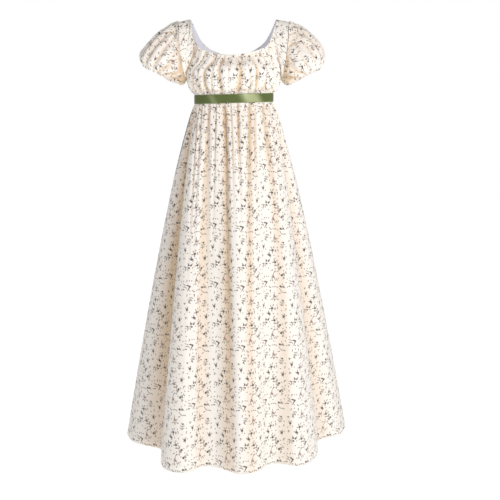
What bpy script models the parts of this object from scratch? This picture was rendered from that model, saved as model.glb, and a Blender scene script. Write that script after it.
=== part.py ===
"""Regency gown: a gathered bodice, two puffed sleeves, a ribbon under the bust and a long fluted skirt.

Metres, +Z up. The origin lies between the shoulders, where the wearer carries the gown: the
cloth of both straps rests on the plane z = 0. The gown faces -Y and +X is the viewer's right.
Every piece is a wall of cloth. Its outer surface is worked out in rows from its sizes, a grid is
laid on it, and the grid is extruded towards the wearer by the wall.
"""

import math
from collections import namedtuple

import bmesh
import bpy
import numpy as np

# ---------------------------------------------------------------- driving sizes
WALL = 0.0020  # printed cotton with its gathers
LINING_WALL = 0.0010
RIBBON_WALL = 0.0010
SEAM = 0.0003  # space kept between two pieces that are sewn together
LINING_CLEAR = 0.0016  # from the back's inner face to its lining, where both of them curve
MM = 0.001

LENGTH = 1.400  # shoulder to hem
WAIST_Z = -0.25125  # the seam between bodice and skirt
WAIST_TILT = 0.00375  # the seam sits this much lower on the left and higher on the right
WAIST_WIDE = 0.1275  # half width of the waist ring
WAIST_DEEP = 0.0960  # half depth of the waist ring
RIBBON_TALL = 0.028
RIBBON_CLEAR = 0.0016  # from the waist ring to the ribbon's inner face
SPREAD_POWER = 0.8  # how the skirt opens: quickly below the waist, then almost straight

HELD = 0.0145  # above and below the waist seam the ribbon holds the cloth upright this far

SKIRT_ROWS = 8
FRONT_COLUMNS = 58
BACK_COLUMNS = 46
BODICE_ROWS_UP = 7  # from the underarm to the top edge
BODICE_COLUMNS = 32
BACK_BODICE_COLUMNS = 24
SLEEVE_COLUMNS = 4 * BODICE_ROWS_UP
SLEEVE_ROWS = 8
RIBBON_COLUMNS = 52

CREAM = (0.93, 0.90, 0.83)
PALE_GREY = (0.84, 0.84, 0.87)
MOSS_GREEN = (0.14, 0.22, 0.07)

# ---------------------------------------------------------------- the skirt's sizes
# The hem seen from above, from side seam to side seam: place across, place forward, and the
# direction on the waist ring from which that line of cloth hangs (0 is the centre front).
HemPoint = namedtuple("HemPoint", "across forward waist_deg")
FRONT_HEM = [
    HemPoint(-0.372, -0.030, -90),
    HemPoint(-0.340, 0.050, -87),
    HemPoint(-0.296, 0.094, -84),
    HemPoint(-0.254, 0.122, -81.5),
    HemPoint(-0.238, 0.180, -79.5),
    HemPoint(-0.231, 0.250, -77),
    HemPoint(-0.213, 0.312, -71),
    HemPoint(-0.160, 0.342, -60),
    HemPoint(-0.122, 0.322, -46),
    HemPoint(-0.092, 0.286, -34),
    HemPoint(-0.060, 0.288, -22),
    HemPoint(-0.020, 0.334, -14),
    HemPoint(0.028, 0.356, 4),
    HemPoint(0.064, 0.348, 24),
    HemPoint(0.092, 0.308, 34),
    HemPoint(0.111, 0.270, 41),
    HemPoint(0.134, 0.258, 46),
    HemPoint(0.160, 0.270, 52),
    HemPoint(0.193, 0.284, 60),
    HemPoint(0.230, 0.268, 68),
    HemPoint(0.262, 0.212, 75),
    HemPoint(0.278, 0.140, 79),
    HemPoint(0.284, 0.056, 83),
    HemPoint(0.310, 0.014, 86),
    HemPoint(0.352, -0.010, 88),
    HemPoint(0.384, -0.080, 90),
]
BACK_HEM = [
    HemPoint(0.384, -0.080, 90),
    HemPoint(0.392, -0.140, 97),
    HemPoint(0.362, -0.200, 105),
    HemPoint(0.310, -0.220, 113),
    HemPoint(0.280, -0.268, 122),
    HemPoint(0.236, -0.320, 131),
    HemPoint(0.186, -0.306, 141),
    HemPoint(0.146, -0.288, 150),
    HemPoint(0.104, -0.330, 160),
    HemPoint(0.050, -0.362, 171),
    HemPoint(0.000, -0.330, 181),
    HemPoint(-0.044, -0.318, 191),
    HemPoint(-0.090, -0.352, 201),
    HemPoint(-0.142, -0.346, 211),
    HemPoint(-0.180, -0.298, 220),
    HemPoint(-0.222, -0.284, 229),
    HemPoint(-0.272, -0.292, 238),
    HemPoint(-0.312, -0.244, 246),
    HemPoint(-0.322, -0.176, 254),
    HemPoint(-0.352, -0.120, 262),
    HemPoint(-0.372, -0.030, 270),
]

# Grooves that run down the skirt between the flutes: the waist direction they start from,
# their half width there in degrees, and how deep they are at the top, half way and at the hem.
Groove = namedtuple("Groove", "waist_deg half_deg top_mm middle_mm hem_mm")
FRONT_GROOVES = [
    Groove(-80, 3.0, 3, 14, 16),
    Groove(-50, 5.0, 4, 8, 0),
    Groove(-16, 3.5, 5, 13, 8),
    Groove(6, 4.0, 4, 0, 0),
    Groove(30, 6.0, 5, 11, 7),
    Groove(52, 5.0, 4, 9, 4),
    Groove(79, 4.0, 3, 12, 8),
]
BACK_GROOVES = [
    Groove(108, 4.0, 3, 9, 5),
    Groove(142, 5.0, 5, 10, 6),
    Groove(176, 4.0, 5, 8, 5),
    Groove(206, 5.0, 4, 10, 4),
    Groove(242, 4.0, 3, 9, 5),
]

# ---------------------------------------------------------------- the bodice's sizes
# An edge is a smooth line through its rows: how far along the edge, then across, forward, up.
EdgePoint = namedtuple("EdgePoint", "along across forward up")
FRONT_NECK = [  # from the left strap round the scoop with its soft corners to the right strap
    EdgePoint(0.05, -0.139, 0.000, 0.002),
    EdgePoint(0.065, -0.1385, 0.013, 0.000),
    EdgePoint(0.08, -0.137, 0.026, -0.008),
    EdgePoint(0.11, -0.131, 0.050, -0.042),
    EdgePoint(0.15, -0.121, 0.068, -0.074),
    EdgePoint(0.19, -0.110, 0.082, -0.091),
    EdgePoint(0.25, -0.090, 0.095, -0.100),
    EdgePoint(0.37, -0.046, 0.108, -0.113),
    EdgePoint(0.50, 0.000, 0.112, -0.115),
    EdgePoint(0.63, 0.048, 0.108, -0.108),
    EdgePoint(0.75, 0.088, 0.096, -0.096),
    EdgePoint(0.81, 0.106, 0.083, -0.087),
    EdgePoint(0.85, 0.117, 0.067, -0.070),
    EdgePoint(0.89, 0.127, 0.050, -0.040),
    EdgePoint(0.92, 0.134, 0.026, -0.008),
    EdgePoint(0.935, 0.1365, 0.013, 0.000),
    EdgePoint(0.95, 0.137, 0.000, 0.002),
]
BACK_NECK = [  # from the right strap round the back neck to the left strap
    EdgePoint(0.05, 0.137, 0.000, 0.002),
    EdgePoint(0.07, 0.135, -0.014, -0.001),
    EdgePoint(0.09, 0.132, -0.027, -0.010),
    EdgePoint(0.18, 0.107, -0.056, -0.060),
    EdgePoint(0.28, 0.078, -0.074, -0.086),
    EdgePoint(0.39, 0.041, -0.086, -0.103),
    EdgePoint(0.50, 0.000, -0.090, -0.107),
    EdgePoint(0.61, -0.041, -0.086, -0.104),
    EdgePoint(0.72, -0.080, -0.074, -0.088),
    EdgePoint(0.82, -0.109, -0.056, -0.061),
    EdgePoint(0.91, -0.133, -0.027, -0.010),
    EdgePoint(0.93, -0.137, -0.014, -0.001),
    EdgePoint(0.95, -0.139, 0.000, 0.002),
]
# Rings of the bodice from the waist up to the underarm, where the armhole begins. The cloth is
# held upright behind the ribbon, leaves it at once and stands away under the bust.
BodiceRing = namedtuple("BodiceRing", "along half_wide front_deep back_deep up tilt_share")
BODICE_RINGS = [
    BodiceRing(0.00, 0.1275, 0.0960, 0.0960, -0.25125, 1.0),
    BodiceRing(0.10, 0.1278, 0.0963, 0.0963, -0.23675, 1.0),
    BodiceRing(0.17, 0.1385, 0.1140, 0.1060, -0.22900, 0.6),
    BodiceRing(0.25, 0.1490, 0.1280, 0.1110, -0.21200, 0.2),
    BodiceRing(0.36, 0.1530, 0.1370, 0.1110, -0.18800, 0.0),
]
ARMHOLE_FROM = BODICE_RINGS[-1].along
ARMHOLE = [  # from the underarm up the front to the strap, for the side at -X
    EdgePoint(0.36, -0.1530, 0.000, -0.1880),
    EdgePoint(0.44, -0.1570, 0.026, -0.1800),
    EdgePoint(0.54, -0.1640, 0.047, -0.1570),
    EdgePoint(0.66, -0.1710, 0.059, -0.1200),
    EdgePoint(0.78, -0.1745, 0.057, -0.0750),
    EdgePoint(0.89, -0.1765, 0.043, -0.0330),
    EdgePoint(0.95, -0.1785, 0.025, -0.0130),
    EdgePoint(1.00, -0.1800, 0.000, -0.0060),
    EdgePoint(1.05, -0.1785, -0.025, -0.0130),  # only the way on, so that the top is round
]
ARMHOLE_ROWS = np.linspace(ARMHOLE_FROM, 1, BODICE_ROWS_UP + 1)
BACK_DEPTH = 0.92  # the armhole reaches a little less far to the back than to the front
SHOULDER_RUN = 0.075  # how directly the strap runs over the shoulder seam
STRAP_ALONG = 0.05  # the strap's share of a top edge
LEAN_REACH = (0.42, 0.17, 0.42)  # how far over a panel its side edge pulls across, forward and up
# Soft folds down the gathered front: where they lie across it, their half width and depth.
BodiceFold = namedtuple("BodiceFold", "along half depth_mm")
BODICE_FOLDS = [
    BodiceFold(0.15, 0.030, 5),
    BodiceFold(0.30, 0.022, 4),
    BodiceFold(0.42, 0.022, 5),
    BodiceFold(0.555, 0.028, 6),
    BodiceFold(0.68, 0.025, 5),
    BodiceFold(0.80, 0.025, 3),
]

# ---------------------------------------------------------------- the sleeves' sizes
# Rings from the armhole to the cuff: the highest and the lowest point of each ring, and its
# half depth. The last ring is the elastic edge, tucked up inside the puff.
SleeveRing = namedtuple("SleeveRing", "top_across top_up low_across low_up half_deep")
LEFT_RINGS = [
    SleeveRing(-0.199, -0.009, -0.160, -0.199, 0.066),
    SleeveRing(-0.221, -0.022, -0.166, -0.205, 0.076),
    SleeveRing(-0.258, -0.053, -0.175, -0.206, 0.084),
    SleeveRing(-0.287, -0.085, -0.188, -0.200, 0.086),
    SleeveRing(-0.304, -0.114, -0.205, -0.195, 0.082),
    SleeveRing(-0.296, -0.140, -0.214, -0.191, 0.073),
    SleeveRing(-0.285, -0.152, -0.216, -0.186, 0.060),
    SleeveRing(-0.276, -0.146, -0.213, -0.175, 0.048),
]
RIGHT_RINGS = [
    SleeveRing(0.199, -0.010, 0.162, -0.198, 0.066),
    SleeveRing(0.222, -0.021, 0.168, -0.204, 0.076),
    SleeveRing(0.258, -0.052, 0.178, -0.207, 0.085),
    SleeveRing(0.284, -0.083, 0.190, -0.201, 0.087),
    SleeveRing(0.296, -0.120, 0.205, -0.195, 0.083),
    SleeveRing(0.289, -0.143, 0.213, -0.191, 0.074),
    SleeveRing(0.278, -0.157, 0.215, -0.186, 0.060),
    SleeveRing(0.268, -0.150, 0.210, -0.175, 0.048),
]
SLEEVE_PLEATS = 9
SLEEVE_PLEAT_DEEP = 0.0035


# ---------------------------------------------------------------- lines and surfaces
def run(start, leaving, end, arriving, t):
    """The curve from start to end that leaves and arrives with these slopes, t from 0 to 1."""
    rise = t * t * (3 - 2 * t)
    return (
        start
        + (end - start) * rise
        + leaving * (t * (1 - t) ** 2)
        - arriving * (t * t * (1 - t))
    )


def smooth(stops, rows, at):
    """A smooth line through rows of values, each at its stop, read at the places in at."""
    stops = np.asarray(stops, float)
    rows = np.asarray(rows, float).reshape(len(stops), -1)
    slopes = np.gradient(rows, stops, axis=0)
    at = np.clip(np.asarray(at, float), stops[0], stops[-1])
    i = np.clip(np.searchsorted(stops, at, side="right") - 1, 0, len(stops) - 2)
    step = (stops[i + 1] - stops[i])[:, None]
    t = (at - stops[i])[:, None] / step
    return run(rows[i], slopes[i] * step, rows[i + 1], slopes[i + 1] * step, t)


def edge_line(points, at):
    """An edge's points in the part's frame, at the given places along it."""
    rows = [(p.across, -p.forward, p.up) for p in points]
    return smooth([p.along for p in points], rows, at)


def waist_point(degrees):
    """The waist ring at these directions, 0 at the centre front and 90 at +X."""
    angle = np.radians(degrees)
    across = WAIST_WIDE * np.sin(angle)
    up = WAIST_Z + WAIST_TILT * np.sin(angle)
    return np.stack([across, -WAIST_DEEP * np.cos(angle), up], axis=-1)


def unit(vectors):
    return vectors / np.linalg.norm(vectors, axis=-1, keepdims=True)


def outward(points, closed=False):
    """Unit normals of a surface given in rows and columns, on the side away from the wearer. On a
    closed tube the last column is the first one again."""
    if closed:
        ring = np.concatenate([points[:, -2:-1], points, points[:, 1:2]], axis=1)
        along_row = (ring[:, 2:] - ring[:, :-2]) / 2
    else:
        along_row = np.gradient(points, axis=1)
    return unit(np.cross(along_row, np.gradient(points, axis=0)))


def bell(x, half):
    """A soft bump, 1 at the middle and fading out about two half widths away."""
    return np.exp(-((x / half) ** 2))


def trimmed(places, length, gap):
    """Places 0..1 along a line, drawn in by gap at both ends."""
    cut = gap / length
    return cut + np.asarray(places) * (1 - 2 * cut)


# ---------------------------------------------------------------- the skirt
def skirt_surface(hem, grooves, columns, rows):
    """Rows from the hem up to the waist: each line of cloth runs from its waist point to its hem
    point, and the folds open with the skirt."""
    plan = np.array([(p.across, -p.forward) for p in hem])
    steps = np.linalg.norm(np.diff(plan, axis=0), axis=1)
    stops = np.concatenate([[0], np.cumsum(steps)])
    across = trimmed(np.linspace(0, 1, columns + 1), stops[-1], SEAM) * stops[-1]
    hem_plan = smooth(stops, plan, across)
    degrees = smooth(stops, [p.waist_deg for p in hem], across)[:, 0]
    top = waist_point(degrees)
    top[:, 2] -= SEAM / 2
    bottom = np.column_stack([hem_plan, np.full(columns + 1, -LENGTH)])

    held = HELD / (LENGTH + WAIST_Z)
    down = np.append(held + (1 - held) * np.linspace(1, 0, rows) ** 1.25, 0)[:, None]
    opened = np.clip((down - held) / (1 - held), 0, 1) ** SPREAD_POWER
    points = np.empty((rows + 1, columns + 1, 3))
    points[..., :2] = top[:, :2] + (bottom - top)[:, :2] * opened[..., None]
    points[..., 2] = top[:, 2] + (bottom - top)[:, 2] * down

    normals = outward(points)
    normals[..., 2] = 0
    for g in grooves:
        depths = [[0.0], [0.0], [g.top_mm], [g.middle_mm], [g.hem_mm]]
        depth = smooth([0, held, 0.07, 0.5, 1], depths, down[:, 0]) * MM
        points -= normals * (depth * bell(degrees - g.waist_deg, g.half_deg))[..., None]
    return points


# ---------------------------------------------------------------- the bodice
def ring_line(side, degrees, at):
    """Lines of cloth over the bodice's rings: rows at the places in at, columns by direction.
    side is "front_deep" or "back_deep"."""
    wide, deep, up, tilt = smooth(
        [r.along for r in BODICE_RINGS],
        [(r.half_wide, getattr(r, side), r.up, r.tilt_share) for r in BODICE_RINGS],
        at,
    ).T[:, :, None]
    angle = np.radians(degrees)[None, :]
    up = up + tilt * WAIST_TILT * np.sin(angle)
    return np.stack([wide * np.sin(angle), -deep * np.cos(angle), up], axis=-1)


def armhole_edge(sign, at, depth=1.0):
    """The armhole's edge at the side of this sign; a depth below 0 turns it to the back."""
    line = edge_line(ARMHOLE, at)
    line[:, 0] *= -sign
    line[:, 1] *= depth
    return line


def top_line(neck, first_sign, at):
    """A panel's whole top edge: straight over one strap, round the neck, straight over the other."""
    line = edge_line(neck, at)
    ends = np.array([0.0, 1.0])
    for end, sign in zip(ends, (first_sign, -first_sign)):
        outer = armhole_edge(sign, np.array([1.0]))[0]
        out = np.clip(1 - np.abs(at - end) / STRAP_ALONG, 0, 1)[:, None]
        line += out * (outer - edge_line(neck, [end])[0])
    return line


def bodice_surface(neck, side, first_sign, columns):
    """Rows from the waist up to the neck. Lines of cloth follow the rings up to the underarm and
    then run on to the top edge, leaning over near the sides to meet the armholes."""
    front = side == "front_deep"
    across = trimmed(np.linspace(0, 1, columns + 1), 0.40, SEAM)
    swing = smooth([0, 0.18, 0.5, 0.82, 1], [-90, -72, 0, 72, 90], across)[:, 0]
    degrees = swing if front else 180 + swing
    low_rows = [r.along for r in BODICE_RINGS]
    high_rows = ARMHOLE_ROWS[1:]

    lower = ring_line(side, degrees, low_rows)
    lower[0, :, 2] += SEAM / 2
    top = top_line(neck, first_sign, across)
    share = (high_rows - ARMHOLE_FROM) / (1 - ARMHOLE_FROM)
    leaving = (lower[-1] - lower[-2]) / (low_rows[-1] - low_rows[-2]) * (1 - ARMHOLE_FROM)
    strap = np.clip(1 - (np.minimum(across, 1 - across) / STRAP_ALONG - 1) / 1.2, 0, 1)[:, None]
    over = np.array([0, SHOULDER_RUN if front else -SHOULDER_RUN, 0])
    arriving = strap * over + (1 - strap) * (top - lower[-1])
    upper = run(lower[-1], leaving, top, arriving, share[:, None, None])
    points = np.concatenate([lower, upper])

    depth = 1.0 if front else -BACK_DEPTH
    for edge, sign, reach in ((0, first_sign, across), (-1, -first_sign, 1 - across)):
        s = np.clip(reach[:, None] / np.array(LEAN_REACH), 0, 1)
        lean = (1 - s) ** 2 * (1 + 2 * s)
        pull = armhole_edge(sign, high_rows, depth) - upper[:, edge]
        points[len(low_rows) :] += lean * pull[:, None, :]
    strap = np.minimum(across, 1 - across) <= STRAP_ALONG
    points[-1, strap, 1] = -SEAM if front else SEAM
    return points


def fold_bodice(points):
    """Presses the soft folds into the gathered front."""
    rows, columns = points.shape[:2]
    across = np.linspace(0, 1, columns)
    fade = np.sin(math.pi * np.clip(np.linspace(-0.1, 1, rows), 0, 1))[:, None] ** 0.6
    normals = outward(points)
    for f in BODICE_FOLDS:
        depth = f.depth_mm * MM * fade * bell(across - f.along, f.half)
        points = points - normals * depth[..., None]
    return points


# ---------------------------------------------------------------- the sleeves
def armhole(sign, columns):
    """The armhole as a closed line, straight between the rows of the bodice: from its top down the
    front and up the back."""
    front = armhole_edge(sign, ARMHOLE_ROWS[::-1])
    back = armhole_edge(sign, ARMHOLE_ROWS, -BACK_DEPTH)
    corners = np.concatenate([front, back[1:]])
    places = np.linspace(0, len(corners) - 1, columns + 1)
    line = np.array([np.interp(places, range(len(corners)), c) for c in corners.T]).T
    line[:, 0] += sign * SEAM * 2
    return line


def sleeve_surface(sign, rings, columns, rows):
    """Rows from the armhole to the cuff, columns once round the arm."""
    turn = np.linspace(0, 2 * math.pi, columns + 1)
    loops = [armhole(sign, columns)]
    for r in rings:
        top = np.array([r.top_across, 0, r.top_up])
        low = np.array([r.low_across, 0, r.low_up])
        loop = (top + low) / 2 + np.cos(turn)[:, None] * (top - low) / 2
        loop[:, 1] -= np.sin(turn) * r.half_deep
        loops.append(loop)
    loops = np.array(loops)
    mean_step = np.linalg.norm(np.diff(loops, axis=0), axis=2).mean(axis=1)
    stops = np.concatenate([[0], np.cumsum(mean_step)])
    places = np.linspace(0, stops[-1], rows + 1)
    points = smooth(stops, loops.reshape(len(loops), -1), places).reshape(rows + 1, columns + 1, 3)

    away = unit(points - points[:, :-1].mean(axis=1, keepdims=True))
    grown = np.sin(math.pi * np.clip(places / stops[-1], 0, 1))[:, None] ** 0.7
    pleat = np.cos(SLEEVE_PLEATS * turn) * grown * SLEEVE_PLEAT_DEEP
    return points + away * pleat[..., None]


# ---------------------------------------------------------------- the ribbon
def ribbon_surface(columns):
    """A flat band round the waist ring, just clear of the cloth, with the seam behind its middle."""
    degrees = np.linspace(0, 360, columns + 1)
    angle = np.radians(degrees)
    away = unit(np.stack([np.sin(angle) * WAIST_DEEP, -np.cos(angle) * WAIST_WIDE, 0 * angle], axis=-1))
    outer = waist_point(degrees) + away * (RIBBON_CLEAR + RIBBON_WALL)
    up = np.array([0, 0, RIBBON_TALL / 2])
    return np.array([outer - up, outer + up])


# ---------------------------------------------------------------- making pieces
def finish(name, colour, roughness):
    material = bpy.data.materials.new(name)
    material.use_nodes = True
    shader = material.node_tree.nodes["Principled BSDF"]
    shader.inputs["Base Color"].default_value = (*colour, 1)
    shader.inputs["Roughness"].default_value = roughness
    shader.inputs["Metallic"].default_value = 0
    return material


def cloth(name, outer, normals, wall, colour, roughness=0.9, closed=False):
    """Lays a grid on the outer surface and extrudes it inwards along the normals by the wall."""
    rows, columns = outer.shape[:2]
    outer = outer.reshape(-1, 3)
    inner = outer - normals.reshape(-1, 3) * wall
    bm = bmesh.new()
    spot = bm.verts.layers.int.new("spot")
    grid = bmesh.ops.create_grid(bm, x_segments=columns - 1, y_segments=rows - 1, size=1)
    for number, (vert, place) in enumerate(zip(grid["verts"], outer)):
        vert.co = place
        vert[spot] = number
    if closed:
        bmesh.ops.remove_doubles(bm, verts=bm.verts, dist=1e-5)
    pushed = bmesh.ops.extrude_face_region(bm, geom=bm.faces, use_keep_orig=True)
    for vert in pushed["geom"]:
        if isinstance(vert, bmesh.types.BMVert):
            vert.co = inner[vert[spot]]
    bmesh.ops.recalc_face_normals(bm, faces=bm.faces)
    mesh = bpy.data.meshes.new(name)
    bm.to_mesh(mesh)
    bm.free()
    mesh.shade_smooth()
    mesh.set_sharp_from_angle(angle=math.radians(50))
    mesh.materials.append(finish(name, colour, roughness))
    piece = bpy.data.objects.new(name, mesh)
    bpy.context.scene.collection.objects.link(piece)
    return piece


def build_skirt():
    front = skirt_surface(FRONT_HEM, FRONT_GROOVES, FRONT_COLUMNS, SKIRT_ROWS)
    back = skirt_surface(BACK_HEM, BACK_GROOVES, BACK_COLUMNS, SKIRT_ROWS)
    front_out, back_out = outward(front), outward(back)
    for edge, other in ((0, -1), (-1, 0)):  # both panels thicken the same way at a side seam
        shared = unit(front_out[:, edge] + back_out[:, other])
        front_out[:, edge] = back_out[:, other] = shared
    cloth("skirt_front", front, front_out, WALL, CREAM)
    cloth("skirt_back", back, back_out, WALL, CREAM)


def bodice_normals(points, columns):
    """Level across at the side seams and upright at the shoulder seams, where two panels meet."""
    normals = outward(points)
    seam_rows = len(BODICE_RINGS)
    for edge in (0, -1):
        normals[:seam_rows, edge] = unit(normals[:seam_rows, edge] * [1, 0, 0])
    strap = np.minimum(np.linspace(0, 1, columns + 1), np.linspace(1, 0, columns + 1)) <= STRAP_ALONG
    normals[-1, strap] = [0, 0, 1]
    return normals


def build_bodice():
    front = fold_bodice(
        bodice_surface(FRONT_NECK, "front_deep", -1, BODICE_COLUMNS)
    )
    back = bodice_surface(BACK_NECK, "back_deep", 1, BACK_BODICE_COLUMNS)
    back_out = bodice_normals(back, BACK_BODICE_COLUMNS)
    cloth("bodice_front", front, bodice_normals(front, BODICE_COLUMNS), WALL, CREAM)
    cloth("bodice_back", back, back_out, WALL, CREAM)

    # the lining lies on the inner face of the back, from the waist to just under the straps
    lining = (back - back_out * (WALL + LINING_CLEAR))[:-1, 2:-2]
    cloth("back_lining", lining, back_out[:-1, 2:-2], LINING_WALL, PALE_GREY, 0.8)


def build_sleeves():
    for name, sign, rings in (("sleeve_left", -1, LEFT_RINGS), ("sleeve_right", 1, RIGHT_RINGS)):
        points = sleeve_surface(sign, rings, SLEEVE_COLUMNS, SLEEVE_ROWS)
        if sign < 0:
            points = points[::-1]
        cloth(name, points, outward(points, closed=True), WALL, CREAM, closed=True)


def build_ribbon():
    points = ribbon_surface(RIBBON_COLUMNS)
    normals = outward(points, closed=True)
    cloth("ribbon", points, normals, RIBBON_WALL, MOSS_GREEN, 0.4, closed=True)


def main():
    for obj in list(bpy.data.objects):
        bpy.data.objects.remove(obj, do_unlink=True)
    build_skirt()
    build_bodice()
    build_sleeves()
    build_ribbon()


main()
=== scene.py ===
# %% [markdown]
# # A regency gown in printed cotton
#
# The gown is a bodice and a skirt sewn together high under the bust, two puffed sleeves and a satin
# ribbon over the seam. Cloth has no shape of its own: what we see is how it was cut, how tightly it
# was gathered and how it hangs. So every piece below is made the same way. A few sizes give the
# large form, narrower folds are pressed into it, and a fine grid is laid on the result.

# %% Load the frame that everything fits
import math
import random
from collections import namedtuple

import bmesh
import bpy
import numpy as np
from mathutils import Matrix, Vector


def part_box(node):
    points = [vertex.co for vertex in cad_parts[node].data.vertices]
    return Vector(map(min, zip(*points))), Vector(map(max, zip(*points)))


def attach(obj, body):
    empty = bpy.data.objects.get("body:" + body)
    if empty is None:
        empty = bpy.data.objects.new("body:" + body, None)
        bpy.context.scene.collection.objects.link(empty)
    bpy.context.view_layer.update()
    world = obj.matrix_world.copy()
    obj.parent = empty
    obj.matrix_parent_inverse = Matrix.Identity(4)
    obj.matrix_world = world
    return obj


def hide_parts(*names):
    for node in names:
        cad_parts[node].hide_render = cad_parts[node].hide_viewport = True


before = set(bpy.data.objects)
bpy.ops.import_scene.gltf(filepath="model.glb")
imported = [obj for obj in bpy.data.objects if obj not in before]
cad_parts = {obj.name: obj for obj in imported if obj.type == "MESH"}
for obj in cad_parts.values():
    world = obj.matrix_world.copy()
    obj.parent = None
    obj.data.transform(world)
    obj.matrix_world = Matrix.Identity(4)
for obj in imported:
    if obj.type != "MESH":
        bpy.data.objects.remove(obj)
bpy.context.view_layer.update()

# %% [markdown]
# ## Sizes
#
# Lengths are in metres. The frame gives the boxes of the solid pieces, and the sizes that matter
# are read from them: how far down the hem is, and how wide, how deep and how tilted the waist is.
# The ribbon lies RIBBON_OUT over the waist ring and holds the cloth flat for HELD above and below
# the seam. COTTON is the cloth's thickness, drawn a little thick, and SEAM is the gap left where
# two pieces are sewn, so that they never share a surface.

# %% Read the main sizes from the frame
MM = 0.001


def size_of(node):
    low, high = np.array(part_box(node), float)
    return low, high, high - low


ribbon_low, ribbon_high, ribbon_size = size_of("ribbon")
HEM_UP = size_of("skirt_front")[0][2]
WAIST_UP = (ribbon_low[2] + ribbon_high[2]) / 2
RIBBON_TALL = 0.028
WAIST_TILT = (ribbon_size[2] - RIBBON_TALL) / 2
RIBBON_OUT = 0.0026
WAIST_WIDE = ribbon_size[0] / 2 - RIBBON_OUT
WAIST_DEEP = ribbon_size[1] / 2 - RIBBON_OUT
HELD = 0.0145
COTTON = 0.0006
SEAM = 0.0003
print("waist ring", round(WAIST_WIDE, 4), round(WAIST_DEEP, 4), "at", round(WAIST_UP, 4))

# %% [markdown]
# ## The camera
#
# A long lens from a few metres away, level with the ribbon and looking slightly down, shows the
# gown almost flat, as a shop does. The gown stands a little left of the middle.

# %% Place the camera
CAMERA_AWAY = 3.40
CAMERA_UP = -0.256
CAMERA_SIDE = 0.053
LOOKS_DOWN = math.radians(8.29)
LENS = 74.1
camera = bpy.data.objects.new("camera", bpy.data.cameras.new("camera"))
camera.data.lens = LENS
camera.location = (CAMERA_SIDE, -CAMERA_AWAY, CAMERA_UP)
camera.rotation_euler = (math.pi / 2 - LOOKS_DOWN, 0, 0)
bpy.context.scene.collection.objects.link(camera)
bpy.context.scene.camera = camera
print("camera at", tuple(camera.location))

# %% [markdown]
# ## Smooth lines
#
# A short table gives a few places on a line, and the line between them must be smooth. run() is the
# curve between two places with a given slope at each, and smooth() joins such curves, taking each
# slope from the neighbouring places.


# %% Helpers for lines and directions
def run(start, leaving, end, arriving, t):
    """From start to end as t goes from 0 to 1, with these slopes at the two ends."""
    rise = t * t * (3 - 2 * t)
    return (
        start
        + (end - start) * rise
        + leaving * (t * (1 - t) ** 2)
        - arriving * (t * t * (1 - t))
    )


def smooth(stops, rows, at):
    """A smooth line through the rows of a table, read at the given places."""
    stops = np.asarray(stops, float)
    rows = np.asarray(rows, float).reshape(len(stops), -1)
    slopes = np.gradient(rows, stops, axis=0)
    at = np.clip(np.asarray(at, float), stops[0], stops[-1])
    i = np.clip(np.searchsorted(stops, at, side="right") - 1, 0, len(stops) - 2)
    step = (stops[i + 1] - stops[i])[:, None]
    t = (at - stops[i])[:, None] / step
    return run(rows[i], slopes[i] * step, rows[i + 1], slopes[i + 1] * step, t)


def unit(vectors):
    return vectors / np.linalg.norm(vectors, axis=-1, keepdims=True)


def outward(points, closed=False):
    """The direction square to the surface at every point; closed joins each row's two ends."""
    if closed:
        ring = np.concatenate([points[:, -2:-1], points, points[:, 1:2]], axis=1)
        along_row = (ring[:, 2:] - ring[:, :-2]) / 2
    else:
        along_row = np.gradient(points, axis=1)
    return unit(np.cross(along_row, np.gradient(points, axis=0)))


def fade(x, start, end):
    """1 up to start, 0 from end on."""
    t = np.clip((x - start) / (end - start), 0, 1)
    return 1 - t * t * (3 - 2 * t)


print("a quarter along a line from 0 to 1:", smooth([0, 1], [[0.0], [1.0]], [0.25])[0, 0])

# %% [markdown]
# ## Gathers
#
# A gathered seam draws more cloth into a shorter line. The cloth stands up in round ridges with
# narrow valleys between them. No two are alike, and they fade out one after the other, so that
# only some run on. gathers() gives the depth of such valleys: x runs along the seam, away is the
# distance from it, both in metres, and reach says how far the longest valley runs. A valley starts
# at the seam with the share of its depth that close gives.


# %% A function for gathers
def gathers(x, away, spacing, depth, reach, seed, close=0.0):
    """How deep each place lies in the valleys of one gathered seam, in metres."""
    draw = random.Random(seed)
    low, high = float(x.min()), float(x.max())
    count = max(3, round((high - low) / spacing))
    total = np.zeros(np.broadcast(x, away).shape)
    for n in range(count):
        place = low + (high - low) * (n + draw.uniform(0.2, 0.8)) / count
        length = reach * draw.uniform(0.3, 1.0)
        width = spacing * draw.uniform(0.20, 0.36)
        deep = depth * draw.uniform(0.45, 1.0)
        lean = spacing * draw.uniform(-0.6, 0.6)
        opened = np.clip(away / reach, 0, 1)
        side = (x - place - lean * opened) / (width * (1 + 1.4 * opened))
        strength = close + (1 - close) * (1 - fade(away, 0, reach * 0.12))
        total += deep * np.exp(-np.abs(side) ** 1.7) * strength * fade(away, length * 0.35, length)
    return total


line = np.linspace(0, 0.1, 101)
depths = gathers(line, 0 * line + 0.02, 0.01, 0.003, 0.1, 1)
print("the deepest of some valleys, 20 mm from their seam:", depths.max().round(4))

# %% [markdown]
# ## From numbers to cloth
#
# lay() puts a grid on a surface that is given in rows and columns. It also writes the piece's UV
# map, in metres, as if the cloth were cut flat: across is the length along the row from the middle,
# up is the length along the column from the bottom edge. The print is drawn on that map, so it
# follows the cloth into the folds and keeps its size.
#
# Two values are kept for the materials. The first is painted shade: how deep a place lies between
# folds, which the cotton paints as warm peach and tan, standing for the warm light that bounces
# between folds of cream cotton. The second, from_stitch, is how far a place is from the line of
# stitches that holds a turned edge: stitch_up gives that line's height over the bottom edge, or,
# below zero, its depth under the top edge.


# %% The function that lays a grid on a surface
HEM_STITCH = 0.022
NECK_STITCH = -0.007
CUFF_STITCH = 0.030


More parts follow.
